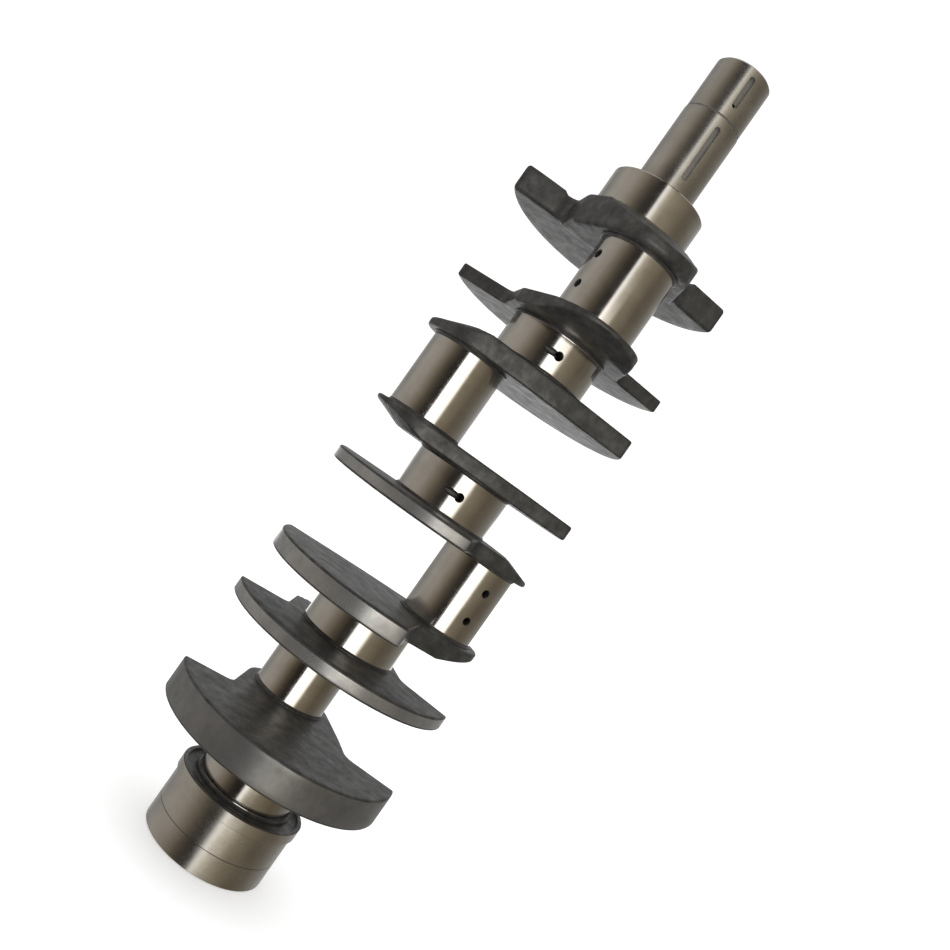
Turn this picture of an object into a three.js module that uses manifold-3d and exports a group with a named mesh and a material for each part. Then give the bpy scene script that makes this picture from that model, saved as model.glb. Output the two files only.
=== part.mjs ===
// Bare crankshaft of a cross-plane V8 engine, in millimetres, +Z along the shaft.
// The origin is the centre of the flywheel face, so the crankshaft stands on its rear flange
// with its snout up. The first crankpin points to -Y.
import * as THREE from 'three';
import { mergeVertices } from 'three/addons/utils/BufferGeometryUtils.js';
import Module from 'manifold-3d';

const wasm = await Module();
wasm.setup();

// ---- driving dimensions ----------------------------------------------------------------

// Lengths along the shaft, from the flywheel face to the tip of the snout.
const FLANGE_LENGTH = 50.5;
const MAIN_LENGTHS = { 5: 36, 4: 30, 3: 34, 2: 31.5, 1: 34.5 };
const PIN_LENGTHS = { 4: 58.5, 3: 60.5, 2: 60, 1: 57.5 };
const WEB_THICKNESSES = { 8: 26, 7: 11.5, 6: 15, 5: 11, 4: 12, 3: 15.5, 2: 11, 1: 23.5 };
const GEAR_SEAT_LENGTH = 66.5;
const NOSE_LENGTH = 42.5;

// Running surfaces.
const THROW = 48;
const MAIN_RADIUS = 38;
const PIN_RADIUS = 29.7;
const GEAR_SEAT_RADIUS = 23.1;
const NOSE_RADIUS = GEAR_SEAT_RADIUS - 0.5;
const NOSE_CHAMFER = 1.5;
const MAIN_COLLAR_HEIGHT = 1.2;
const PIN_COLLAR_HEIGHT = 1.5;
const COLLAR_WIDTH = 2.5;
const JOURNAL_CHAMFER = 1;

// Rear flange: a ground seal land with a slightly larger lip towards the engine.
const SEAL_LAND_RADIUS = MAIN_RADIUS + 11.1;
const LIP_RADIUS = SEAL_LAND_RADIUS + 1.7;
const LIP_LENGTH = 8.5;
const LIP_RAMP = 1;
const FLANGE_UNDERCUT_DEPTH = 3;
const FLANGE_UNDERCUT_WALL = 3.5;
const FLYWHEEL_BOLTS = 6;
const FLYWHEEL_BOLT_RADIUS = 5.2;
const FLYWHEEL_BOLT_CIRCLE_RADIUS = SEAL_LAND_RADIUS - 11;
const FLYWHEEL_BOLT_DEPTH = 24;

// Pilot bush and the stepped bore that holds it.
const BUSH_OUTER_RADIUS = 13.6;
const BUSH_BORE_RADIUS = 7.6;
const BUSH_LENGTH = 19;
const BUSH_RECESS = 4;
const BUSH_CLEARANCE = 0.3;
const PILOT_RELIEF_RADIUS = 11;
const PILOT_RELIEF_DEPTH = 12;

// Balancer bolt hole and the two keyways, which lie in line with the first crankpin.
const SNOUT_BOLT_RADIUS = 5.2;
const SNOUT_BOLT_DEPTH = NOSE_LENGTH - 6.5;
const SNOUT_COUNTERSINK_RADIUS = 8;
const SNOUT_COUNTERSINK_DEPTH = 4;
const KEYWAY_WIDTH = 4.8;
const KEYWAY_DEPTH = 2.6;
const GEAR_KEYWAY_START = 13.5;
const GEAR_KEYWAY_LENGTH = GEAR_SEAT_LENGTH - GEAR_KEYWAY_START - 7.5;
const NOSE_KEYWAY_START = 10;
const NOSE_KEYWAY_LENGTH = NOSE_LENGTH - NOSE_KEYWAY_START - 6.5;

// Oil drillings: one cross hole in each main, one slanted hole to each half of a crankpin.
const OIL_HOLE_RADIUS = 2.8;
const OIL_INLET_ANGLE = -96;
const OIL_OUTLET_ANGLE = -73;
const OIL_OUTLET_SHARE = 0.225;

// Web outlines, in the web's own axes: u from the main axis to the crankpin, w across it.
// Each counterweight runs round from its wide tip to its narrow tip behind the main axis.
// The roots and shoulders stand off the main journals, and the hub wraps the crankpin.
const OUTER_WEIGHT_FRONT_RADIUS = MAIN_RADIUS + 54.8;
const OUTER_WEIGHT_REAR_RADIUS = MAIN_RADIUS + 53;
const INNER_WEIGHT_RADIUS = MAIN_RADIUS + 48.5;
const END_WEB = {
  wideTip: 87, narrowTip: -105.6, hubRadius: PIN_RADIUS + 8.3,
  wideRoot: [9, MAIN_RADIUS + 13.5],
  narrowRoot: [-13, -MAIN_RADIUS - 8.5],
  narrowShoulder: [20, -MAIN_RADIUS - 11],
};
const OUTER_WEB = {
  ...END_WEB,
  wideTip: 88, narrowTip: -115.5, hubRadius: PIN_RADIUS + 9.8,
  narrowRoot: [-18, -MAIN_RADIUS - 8],
};
const REAR_SHOULDER = { narrowShoulder: [14, -MAIN_RADIUS - 6] };
const INNER_WEB = {
  wideTip: -86, narrowTip: 155, hubRadius: PIN_RADIUS + 8.3,
  wideRoot: [24, -MAIN_RADIUS - 6],
  narrowRoot: [-15, MAIN_RADIUS + 2],
  narrowShoulder: [10, MAIN_RADIUS + 2],
};
const ROOT_FILLET = 8;

// The crankpin end of each web is turned back to a cone on the side of the main journal:
// its length along the shaft, and how much narrower it gets.
const END_CONE = { length: 14.5, drop: 28.5 };
const THIN_CONE = { length: 10, drop: 23.5 };
const TIP_TRIM = 0.5;
const TIP_RIM = 3;

// The front counterweight is set forward on its web, round a turned recess.
const FRONT_WEIGHT_SETBACK = 4.5;
const FRONT_WEIGHT_OVERHANG = 2.5;
const CAP_CLEARANCE_RADIUS = MAIN_RADIUS + 19;

// Facets.
const TURNED_SEGMENTS = 48;
const HOLE_SEGMENTS = 12;
const ARC_STEP_DEGREES = 7.5;
const FILLET_STEPS = 3;
const CUT_MARGIN = 1;

// ---- relations -------------------------------------------------------------------------

const PIN_ANGLES = { 1: -90, 2: 180, 3: 0, 4: 90 };

// From the rear: each zone's name and length, stacked one on the next.
const STACK = [
  ['rear_flange', FLANGE_LENGTH],
  ['main_journal_5', MAIN_LENGTHS[5]],
  ['web_8', WEB_THICKNESSES[8]],
  ['crankpin_4', PIN_LENGTHS[4]],
  ['web_7', WEB_THICKNESSES[7]],
  ['main_journal_4', MAIN_LENGTHS[4]],
  ['web_6', WEB_THICKNESSES[6]],
  ['crankpin_3', PIN_LENGTHS[3]],
  ['web_5', WEB_THICKNESSES[5]],
  ['main_journal_3', MAIN_LENGTHS[3]],
  ['web_4', WEB_THICKNESSES[4]],
  ['crankpin_2', PIN_LENGTHS[2]],
  ['web_3', WEB_THICKNESSES[3]],
  ['main_journal_2', MAIN_LENGTHS[2]],
  ['web_2', WEB_THICKNESSES[2]],
  ['crankpin_1', PIN_LENGTHS[1]],
  ['web_1', WEB_THICKNESSES[1]],
  ['main_journal_1', MAIN_LENGTHS[1]],
  ['gear_seat', GEAR_SEAT_LENGTH],
  ['snout_nose', NOSE_LENGTH],
];

const ZONES = {};
let stackTop = 0;
for (const [name, length] of STACK) {
  ZONES[name] = { from: stackTop, to: stackTop + length };
  stackTop += length;
}

// Each web: its crankpin, outline, counterweight radius and cone, and the side of its main.
const FRONT = { radius: OUTER_WEIGHT_FRONT_RADIUS };
const REAR = { radius: OUTER_WEIGHT_REAR_RADIUS };
const INNER = { outline: INNER_WEB, radius: INNER_WEIGHT_RADIUS, cone: THIN_CONE };
const WEBS = {
  1: { pin: 1, outline: END_WEB, cone: END_CONE, mainAbove: true, ...FRONT },
  2: { pin: 1, outline: OUTER_WEB, cone: THIN_CONE, mainAbove: false, ...FRONT },
  3: { pin: 2, mainAbove: true, ...INNER },
  4: { pin: 2, mainAbove: false, ...INNER },
  5: { pin: 3, mainAbove: true, ...INNER },
  6: { pin: 3, mainAbove: false, ...INNER },
  7: { pin: 4, outline: { ...OUTER_WEB, ...REAR_SHOULDER }, cone: THIN_CONE, mainAbove: true, ...REAR },
  8: { pin: 4, outline: { ...END_WEB, ...REAR_SHOULDER }, cone: END_CONE, mainAbove: false, ...REAR },
};

// ---- solids ----------------------------------------------------------------------------

const radians = THREE.MathUtils.degToRad;

function toSolid(geometry) {
  const bare = geometry.clone();
  bare.deleteAttribute('normal');
  bare.deleteAttribute('uv');
  const merged = mergeVertices(bare, 1e-4);
  return new wasm.Manifold(new wasm.Mesh({
    numProp: 3,
    vertProperties: new Float32Array(merged.attributes.position.array),
    triVerts: new Uint32Array(merged.index.array),
  }));
}

function toGeometry(solid) {
  const mesh = solid.getMesh();
  const geometry = new THREE.BufferGeometry();
  geometry.setAttribute('position', new THREE.BufferAttribute(mesh.vertProperties, 3));
  geometry.setIndex(new THREE.BufferAttribute(mesh.triVerts, 1));
  geometry.computeVertexNormals();
  return geometry;
}

// A turned solid about Z from [radius, z] points that start and end on the axis, rising in z.
function turned(points, segments = TURNED_SEGMENTS) {
  const profile = points.map(([radius, z]) => new THREE.Vector2(radius, z));
  return new THREE.LatheGeometry(profile, segments).rotateX(Math.PI / 2);
}

// A plain cylinder about Z between two heights.
function cylinder(radius, from, to, segments = TURNED_SEGMENTS) {
  return turned([[0, from], [radius, from], [radius, to], [0, to]], segments);
}

// A straight drill between two points, run past both of them.
function drill(start, end, radius) {
  const along = new THREE.Vector3().subVectors(end, start).normalize();
  const from = start.clone().addScaledVector(along, -CUT_MARGIN);
  const to = end.clone().addScaledVector(along, CUT_MARGIN);
  const length = from.distanceTo(to);
  const bit = new THREE.CylinderGeometry(radius, radius, length, HOLE_SEGMENTS);
  bit.applyQuaternion(new THREE.Quaternion().setFromUnitVectors(new THREE.Vector3(0, 1, 0), along));
  const middle = new THREE.Vector3().addVectors(from, to).multiplyScalar(0.5);
  return bit.translate(middle.x, middle.y, middle.z);
}

// A flat outline extruded between two heights.
function plate(outline, from, to) {
  const shape = new THREE.Shape(outline);
  const options = { depth: to - from, bevelEnabled: false, curveSegments: 1 };
  return new THREE.ExtrudeGeometry(shape, options).translate(0, 0, from);
}

// ---- oil drillings ---------------------------------------------------------------------

const middleOf = (zone) => (ZONES[zone].from + ZONES[zone].to) / 2;

function pinCentre(pin) {
  const angle = radians(PIN_ANGLES[pin]);
  return new THREE.Vector2(THROW * Math.cos(angle), THROW * Math.sin(angle));
}

// The mouth of a crankpin's drilling in its rear half (side -1) or front half (side 1).
function pinOutlet(pin, side) {
  const angle = radians(PIN_ANGLES[pin] + OIL_OUTLET_ANGLE);
  const centre = pinCentre(pin);
  const height = middleOf(`crankpin_${pin}`) + side * OIL_OUTLET_SHARE * PIN_LENGTHS[pin];
  const x = centre.x + PIN_RADIUS * Math.cos(angle);
  const y = centre.y + PIN_RADIUS * Math.sin(angle);
  return new THREE.Vector3(x, y, height);
}

function oilDrills() {
  const drills = [];
  for (const main of [1, 2, 3, 4, 5]) {
    const angle = radians(OIL_INLET_ANGLE);
    const height = middleOf(`main_journal_${main}`);
    const heart = new THREE.Vector3(0, 0, height);
    const inlet = new THREE.Vector3(MAIN_RADIUS * Math.cos(angle), MAIN_RADIUS * Math.sin(angle), height);
    drills.push(drill(heart, inlet, OIL_HOLE_RADIUS));
    if (PIN_LENGTHS[main]) drills.push(drill(heart, pinOutlet(main, 1), OIL_HOLE_RADIUS));
    if (PIN_LENGTHS[main - 1]) drills.push(drill(heart, pinOutlet(main - 1, -1), OIL_HOLE_RADIUS));
  }
  return drills;
}

const OIL_PASSAGES = wasm.Manifold.union(oilDrills().map(toSolid));

// ---- web outlines ----------------------------------------------------------------------

function arcPoints(centre, radius, fromDegrees, toDegrees) {
  const steps = Math.max(2, Math.ceil(Math.abs(toDegrees - fromDegrees) / ARC_STEP_DEGREES));
  const points = [];
  for (let step = 0; step <= steps; step += 1) {
    const angle = radians(fromDegrees + ((toDegrees - fromDegrees) * step) / steps);
    const offset = new THREE.Vector2(radius * Math.cos(angle), radius * Math.sin(angle));
    points.push(offset.add(centre));
  }
  return points;
}

// The corner between two straight runs, rounded.
function filleted(before, corner, after, radius) {
  const back = before.clone().sub(corner).normalize();
  const on = after.clone().sub(corner).normalize();
  const half = Math.acos(THREE.MathUtils.clamp(back.dot(on), -1, 1)) / 2;
  const reach = radius / Math.tan(half);
  const centre = back.clone().add(on).normalize().multiplyScalar(radius / Math.sin(half)).add(corner);
  const start = corner.clone().addScaledVector(back, reach).sub(centre);
  const end = corner.clone().addScaledVector(on, reach).sub(centre);
  const sweep = Math.atan2(start.cross(end), start.dot(end));
  const points = [];
  for (let step = 0; step <= FILLET_STEPS; step += 1) {
    points.push(start.clone().rotateAround(new THREE.Vector2(), (sweep * step) / FILLET_STEPS).add(centre));
  }
  return points;
}

// The direction from the hub's centre in which a line from a point outside touches the hub.
function hubTangent(point, hubCentre, hubRadius, side) {
  const offset = point.clone().sub(hubCentre);
  const swing = Math.acos(hubRadius / offset.length());
  return THREE.MathUtils.radToDeg(Math.atan2(offset.y, offset.x) - side * swing);
}

// The outline of a web as two loops that share one straight edge: arm and counterweight.
// The wide side is w > 0 where handed is 1 and w < 0 where handed is -1.
function webLoops(outline, weightRadius) {
  const handed = Math.sign(outline.wideTip);
  const mirror = ([u, w]) => new THREE.Vector2(u, w * handed);
  const hubCentre = new THREE.Vector2(THROW, 0);
  const wideRoot = mirror(outline.wideRoot);
  const narrowRoot = mirror(outline.narrowRoot);
  const shoulder = mirror(outline.narrowShoulder);
  const wideAngle = outline.wideTip * handed;
  const narrowAngle = 360 + outline.narrowTip * handed;
  const rim = arcPoints(new THREE.Vector2(), weightRadius, wideAngle, narrowAngle);
  const hubStart = hubTangent(shoulder, hubCentre, outline.hubRadius, -1);
  const hubEnd = hubTangent(wideRoot, hubCentre, outline.hubRadius, 1);
  const hub = arcPoints(hubCentre, outline.hubRadius, hubStart, hubEnd);
  const narrowFillet = filleted(rim[rim.length - 1], narrowRoot, shoulder, ROOT_FILLET);
  const wideFillet = filleted(hub[hub.length - 1], wideRoot, rim[0], ROOT_FILLET);
  const arm = [narrowFillet[FILLET_STEPS], shoulder, ...hub, wideFillet[0]];
  const weight = [...wideFillet, ...rim, ...narrowFillet];
  return { arm: arm.map(mirrorBack(handed)), weight: weight.map(mirrorBack(handed)) };
}

function mirrorBack(handed) {
  return (point) => new THREE.Vector2(point.x, point.y * handed);
}

function turnedTo(loop, degrees) {
  const axis = new THREE.Vector2();
  return loop.map((point) => point.clone().rotateAround(axis, radians(degrees)));
}

// ---- nodes -----------------------------------------------------------------------------

// A running surface between two collars. A front end that is free has a chamfer instead.
function journal(centre, radius, collarHeight, zone, frontIsFree) {
  const { from, to } = ZONES[zone];
  const collar = radius + collarHeight;
  const front = frontIsFree
    ? [[radius, to - JOURNAL_CHAMFER], [radius - JOURNAL_CHAMFER, to]]
    : [[radius, to - COLLAR_WIDTH], [collar, to]];
  const body = turned([[0, from], [collar, from], [radius, from + COLLAR_WIDTH], ...front, [0, to]]);
  return toGeometry(toSolid(body.translate(centre.x, centre.y, 0)).subtract(OIL_PASSAGES));
}

// The cone that the crankpin end of a web is turned to, wide at the side of the crankpin.
function tipCone(index) {
  const { outline, cone, mainAbove } = WEBS[index];
  const { from, to } = ZONES[`web_${index}`];
  const reach = Math.min(cone.length, to - from - TIP_RIM);
  const wide = THROW + outline.hubRadius - TIP_TRIM;
  const narrow = wide - cone.drop;
  if (mainAbove) {
    return turned([[0, from - CUT_MARGIN], [wide, from - CUT_MARGIN], [wide, to - reach],
      [narrow, to], [narrow, to + CUT_MARGIN], [0, to + CUT_MARGIN]]);
  }
  return turned([[0, from - CUT_MARGIN], [narrow, from - CUT_MARGIN], [narrow, from],
    [wide, from + reach], [wide, to + CUT_MARGIN], [0, to + CUT_MARGIN]]);
}

function webArm(index) {
  const { pin, outline, radius } = WEBS[index];
  const { from, to } = ZONES[`web_${index}`];
  const loop = turnedTo(webLoops(outline, radius).arm, PIN_ANGLES[pin]);
  const arm = toSolid(plate(loop, from, to)).intersect(toSolid(tipCone(index)));
  return toGeometry(arm.subtract(OIL_PASSAGES));
}

function counterweight(index) {
  const { pin, outline, radius } = WEBS[index];
  const { from, to } = ZONES[`web_${index}`];
  const loop = turnedTo(webLoops(outline, radius).weight, PIN_ANGLES[pin]);
  if (index !== 1) return toGeometry(toSolid(plate(loop, from, to)).subtract(OIL_PASSAGES));
  const forward = to + FRONT_WEIGHT_OVERHANG;
  const body = toSolid(plate(loop, from + FRONT_WEIGHT_SETBACK, forward));
  const capRoom = toSolid(cylinder(CAP_CLEARANCE_RADIUS, to, forward + CUT_MARGIN));
  return toGeometry(body.subtract(capRoom).subtract(OIL_PASSAGES));
}

function rearFlange() {
  const { from, to } = ZONES.rear_flange;
  const neck = MAIN_RADIUS + MAIN_COLLAR_HEIGHT;
  const rim = LIP_RADIUS - FLANGE_UNDERCUT_WALL;
  const lip = to - LIP_LENGTH;
  let body = toSolid(turned([
    [0, from], [SEAL_LAND_RADIUS, from], [SEAL_LAND_RADIUS, lip - LIP_RAMP], [LIP_RADIUS, lip],
    [LIP_RADIUS, to], [rim, to], [rim, to - FLANGE_UNDERCUT_DEPTH],
    [neck, to - FLANGE_UNDERCUT_DEPTH], [neck, to], [0, to],
  ]));
  const boreRadius = BUSH_OUTER_RADIUS + BUSH_CLEARANCE;
  const boreDepth = BUSH_RECESS + BUSH_LENGTH;
  body = body.subtract(toSolid(cylinder(boreRadius, from - CUT_MARGIN, boreDepth, HOLE_SEGMENTS * 2)));
  const reliefEnd = boreDepth + PILOT_RELIEF_DEPTH;
  body = body.subtract(toSolid(cylinder(PILOT_RELIEF_RADIUS, from, reliefEnd, HOLE_SEGMENTS * 2)));
  for (let bolt = 0; bolt < FLYWHEEL_BOLTS; bolt += 1) {
    const angle = (2 * Math.PI * bolt) / FLYWHEEL_BOLTS;
    const x = FLYWHEEL_BOLT_CIRCLE_RADIUS * Math.cos(angle);
    const y = FLYWHEEL_BOLT_CIRCLE_RADIUS * Math.sin(angle);
    const hole = cylinder(FLYWHEEL_BOLT_RADIUS, from - CUT_MARGIN, FLYWHEEL_BOLT_DEPTH, HOLE_SEGMENTS);
    body = body.subtract(toSolid(hole.translate(x, y, 0)));
  }
  return toGeometry(body);
}

function pilotBush() {
  const from = BUSH_RECESS;
  const to = BUSH_RECESS + BUSH_LENGTH;
  const ring = [[BUSH_BORE_RADIUS, from], [BUSH_OUTER_RADIUS, from],
    [BUSH_OUTER_RADIUS, to], [BUSH_BORE_RADIUS, to], [BUSH_BORE_RADIUS, from]];
  return toGeometry(toSolid(turned(ring, HOLE_SEGMENTS * 2)));
}

// A flat-bottomed slot along the shaft on the -Y side.
function keyway(surfaceRadius, from, length) {
  const floor = surfaceRadius - KEYWAY_DEPTH;
  const height = KEYWAY_DEPTH + CUT_MARGIN;
  const slot = new THREE.BoxGeometry(KEYWAY_WIDTH, height, length);
  return slot.translate(0, -floor - height / 2, from + length / 2);
}

function gearSeat() {
  const { from, to } = ZONES.gear_seat;
  const slot = keyway(GEAR_SEAT_RADIUS, from + GEAR_KEYWAY_START, GEAR_KEYWAY_LENGTH);
  return toGeometry(toSolid(cylinder(GEAR_SEAT_RADIUS, from, to)).subtract(toSolid(slot)));
}

function snoutNose() {
  const { from, to } = ZONES.snout_nose;
  const body = turned([[0, from], [NOSE_RADIUS, from], [NOSE_RADIUS, to - NOSE_CHAMFER],
    [NOSE_RADIUS - NOSE_CHAMFER, to], [0, to]]);
  const seat = to - SNOUT_COUNTERSINK_DEPTH;
  const bore = turned([[0, to - SNOUT_BOLT_DEPTH], [SNOUT_BOLT_RADIUS, to - SNOUT_BOLT_DEPTH],
    [SNOUT_BOLT_RADIUS, seat], [SNOUT_COUNTERSINK_RADIUS, to],
    [SNOUT_COUNTERSINK_RADIUS, to + CUT_MARGIN], [0, to + CUT_MARGIN]], HOLE_SEGMENTS * 2);
  const slot = keyway(NOSE_RADIUS, from + NOSE_KEYWAY_START, NOSE_KEYWAY_LENGTH);
  return toGeometry(toSolid(body).subtract(toSolid(bore)).subtract(toSolid(slot)));
}

// ---- the scene graph -------------------------------------------------------------------

const FINISHES = {
  ground: { color: 0xa8a49a, roughness: 0.15, metalness: 1 },
  cast: { color: 0x4a4a49, roughness: 0.45, metalness: 0.8 },
  rim: { color: 0x6c6b69, roughness: 0.35, metalness: 0.9 },
  bronze: { color: 0xa07a45, roughness: 0.4, metalness: 1 },
};

const crankshaft = new THREE.Group();

function place(name, geometry, finish) {
  const mesh = new THREE.Mesh(geometry, new THREE.MeshStandardMaterial(FINISHES[finish]));
  mesh.name = name;
  crankshaft.add(mesh);
}

place('rear_flange', rearFlange(), 'ground');
place('pilot_bush', pilotBush(), 'bronze');
for (const main of Object.keys(MAIN_LENGTHS)) {
  const name = `main_journal_${main}`;
  const frontIsFree = main === '1';
  place(name, journal(new THREE.Vector2(), MAIN_RADIUS, MAIN_COLLAR_HEIGHT, name, frontIsFree), 'ground');
}
for (const pin of Object.keys(PIN_LENGTHS)) {
  const name = `crankpin_${pin}`;
  place(name, journal(pinCentre(pin), PIN_RADIUS, PIN_COLLAR_HEIGHT, name, false), 'ground');
}
for (const index of Object.keys(WEBS).map(Number)) {
  place(`web_${index}`, webArm(index), 'cast');
  place(`counterweight_${index}`, counterweight(index), 'rim');
}
place('gear_seat', gearSeat(), 'ground');
place('snout_nose', snoutNose(), 'ground');

export default crankshaft;
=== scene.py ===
import bpy
import bmesh
import math
from mathutils import Matrix, Vector


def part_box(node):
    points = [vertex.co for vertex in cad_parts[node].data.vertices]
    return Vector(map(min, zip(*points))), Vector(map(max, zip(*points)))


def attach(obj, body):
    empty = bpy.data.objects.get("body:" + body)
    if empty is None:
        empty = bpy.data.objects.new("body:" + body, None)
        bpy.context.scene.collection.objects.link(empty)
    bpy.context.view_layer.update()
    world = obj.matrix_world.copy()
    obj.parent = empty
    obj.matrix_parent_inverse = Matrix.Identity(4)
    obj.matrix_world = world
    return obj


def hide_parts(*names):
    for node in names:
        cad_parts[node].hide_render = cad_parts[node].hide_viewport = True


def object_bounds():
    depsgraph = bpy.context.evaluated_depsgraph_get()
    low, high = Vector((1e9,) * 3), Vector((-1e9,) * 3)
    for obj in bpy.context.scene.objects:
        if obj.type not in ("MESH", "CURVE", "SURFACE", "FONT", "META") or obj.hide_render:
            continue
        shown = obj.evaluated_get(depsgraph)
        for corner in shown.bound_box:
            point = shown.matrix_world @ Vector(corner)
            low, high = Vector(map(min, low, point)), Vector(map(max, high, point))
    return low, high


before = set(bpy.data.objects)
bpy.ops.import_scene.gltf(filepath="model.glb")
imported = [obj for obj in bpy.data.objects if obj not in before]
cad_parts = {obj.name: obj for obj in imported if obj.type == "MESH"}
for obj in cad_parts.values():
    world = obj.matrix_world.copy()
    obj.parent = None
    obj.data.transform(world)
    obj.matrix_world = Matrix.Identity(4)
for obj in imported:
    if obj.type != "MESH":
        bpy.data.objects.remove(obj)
CAD_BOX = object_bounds()

# ---- sizes, in metres ---------------------------------------------------------------------

MM = 0.001
AXIS = Vector((0.0, 0.0))
PIN_DIRECTIONS = {1: -90, 2: 180, 3: 0, 4: 90}
THROW = 48 * MM

# Journals: the frame's box holds the collars, so the running surface lies below them.
MAIN_COLLAR = 1.2 * MM
PIN_COLLAR = 1.5 * MM
COLLAR_LAND = 0.6 * MM
JOURNAL_FILLET = 2.0 * MM
COLLAR_SHINE = 0.02 * MM
EDGE_BREAK = 0.5 * MM
JOURNAL_CHAMFER = 1.0 * MM
SEGMENTS = 192
BORE_SEGMENTS = 96
HOLE_SEGMENTS = 40
FILLET_STEPS = 6
COVE_STEPS = 5
CORNER_STEPS = 10
RIM_STEPS = 90
HUB_STEPS = 60
SCOOP_SEGMENTS = (40, 24)
CLEARANCE = 1 * MM
DRILL_CLEARANCE = 3 * MM
WELD_DISTANCE = 0.001 * MM

# Shading: edges sharper than these angles, in degrees, stay sharp. A face counts as part of a
# turned surface when it is this upright and its corners are this near to the surface's radius.
TURNED_SHARP_ANGLE = 35
WEB_SHARP_ANGLE = 50
UPRIGHT_TOLERANCE = 0.02
RADIUS_TOLERANCE = 0.02 * MM

# Oil holes: one in each main, two in each crankpin.
MAIN_HOLE_RADIUS = 3.1 * MM
MAIN_HOLE_ANGLES = {1: 84, 2: -96, 3: -96, 4: 84, 5: 84}
GROOVE_REACH = (2.6 * MM, 7.2 * MM, 2.4 * MM)  # along the shaft, round it and in depth
GROOVE_TURN = -9
PIN_HOLE_RADIUS = 2.9 * MM
PIN_HOLE_ANGLE = -73
PIN_HOLE_OFFSET = 12 * MM
HOLE_CHAMFER = 0.5 * MM
HOLE_DEPTH = 20 * MM

# Web outlines in their own axes: u from the main axis to the crankpin, w across it.
END_WEB = dict(wide_tip=87, narrow_tip=-105.6, hub=38 * MM, wide_root=(9, 51.5),
               narrow_root=(-13, -46.5), shoulder=(20, -49))
OUTER_WEB = dict(END_WEB, wide_tip=88, narrow_tip=-115.5, hub=39.5 * MM, narrow_root=(-18, -46))
REAR_SHOULDER = dict(shoulder=(14, -44))
INNER_WEB = dict(wide_tip=-86, narrow_tip=155, hub=38 * MM, wide_root=(24, -44),
                 narrow_root=(-15, 40), shoulder=(10, 40))
FRONT_RADIUS = 92.8 * MM
INNER_RADIUS = 86.5 * MM
REAR_RADIUS = 91 * MM
END_CONE = (14.5 * MM, 28.5 * MM)  # length along the shaft, and how much narrower it gets
THIN_CONE = (10 * MM, 23.5 * MM)
WEBS = {
    1: dict(pin=1, shape=END_WEB, radius=FRONT_RADIUS, cone=END_CONE, main_above=True),
    2: dict(pin=1, shape=OUTER_WEB, radius=FRONT_RADIUS, cone=THIN_CONE, main_above=False),
    3: dict(pin=2, shape=INNER_WEB, radius=INNER_RADIUS, cone=THIN_CONE, main_above=True),
    4: dict(pin=2, shape=INNER_WEB, radius=INNER_RADIUS, cone=THIN_CONE, main_above=False),
    5: dict(pin=3, shape=INNER_WEB, radius=INNER_RADIUS, cone=THIN_CONE, main_above=True),
    6: dict(pin=3, shape=INNER_WEB, radius=INNER_RADIUS, cone=THIN_CONE, main_above=False),
    7: dict(pin=4, shape=dict(OUTER_WEB, **REAR_SHOULDER), radius=REAR_RADIUS, cone=THIN_CONE,
            main_above=True),
    8: dict(pin=4, shape=dict(END_WEB, **REAR_SHOULDER), radius=REAR_RADIUS, cone=END_CONE,
            main_above=False),
}
CONE_TRIM = 0.5 * MM
CONE_RIM = 3 * MM
ROOT_FILLET = 9 * MM
WEB_EDGE = 1.6 * MM
FRONT_WEB_EDGE = 3.2 * MM
EDGE_STEPS = 4
WALL_STEPS = 6
FACE_STEPS = 14
FACE_SPACING = 0.8
FACE_CENTRE = Vector((-10 * MM, 0))
OUTLINE_STEP = 1.0 * MM
TIP_SOFTENING = 2
FRONT_TIP_SOFTENING = 9

# These webs stay out of the reflections, so that the strip light shows in the rear crankpin.
UNREFLECTED_WEBS = (7, 8)

# Forging draft: the side of a counterweight next to the crankpin leans in towards its rim.
DRAFT_START = 50 * MM
DRAFTS = {5: 0.8 * MM}
PLAIN_DRAFT = 0.3 * MM
RIM_BAND = 0.4 * MM

# The front counterweight stands forward of its web, round a turned recess.
WING_SETBACK = 4.5 * MM
WING_OVERHANG = 2.5 * MM
RECESS_RADIUS = 57 * MM
RECESS_RAMP = 2.5 * MM
STEP_RAMP = 5 * MM

# Rear flange.
LIP_LENGTH = 8.5 * MM
LIP_STEP = 1.7 * MM
LIP_RAMP = 1 * MM
UNDERCUT_COVE = 2 * MM
UNDERCUT_DEPTH = 3 * MM
UNDERCUT_WALL = 3.5 * MM
UNDERCUT_MARGIN = 1 * MM
FACING_UP = 0.5
WEAR_LINE = 19 * MM
WEAR_DEPTH = 0.25 * MM
WEAR_WIDTH = 0.5 * MM
FLYWHEEL_BOLTS = 6
BOLT_RADIUS = 5.2 * MM
BOLT_CIRCLE = 38.1 * MM
BOLT_DEPTH = 24 * MM
BOLT_CHAMFER = 1 * MM
PILOT_RADIUS = 13.9 * MM
PILOT_DEPTH = 23 * MM
PILOT_CHAMFER = 1 * MM
RELIEF_RADIUS = 11 * MM
RELIEF_DEPTH = 35 * MM
RELIEF_POINT = 4 * MM
BUSH_BORE_RADIUS = 7.6 * MM

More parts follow.
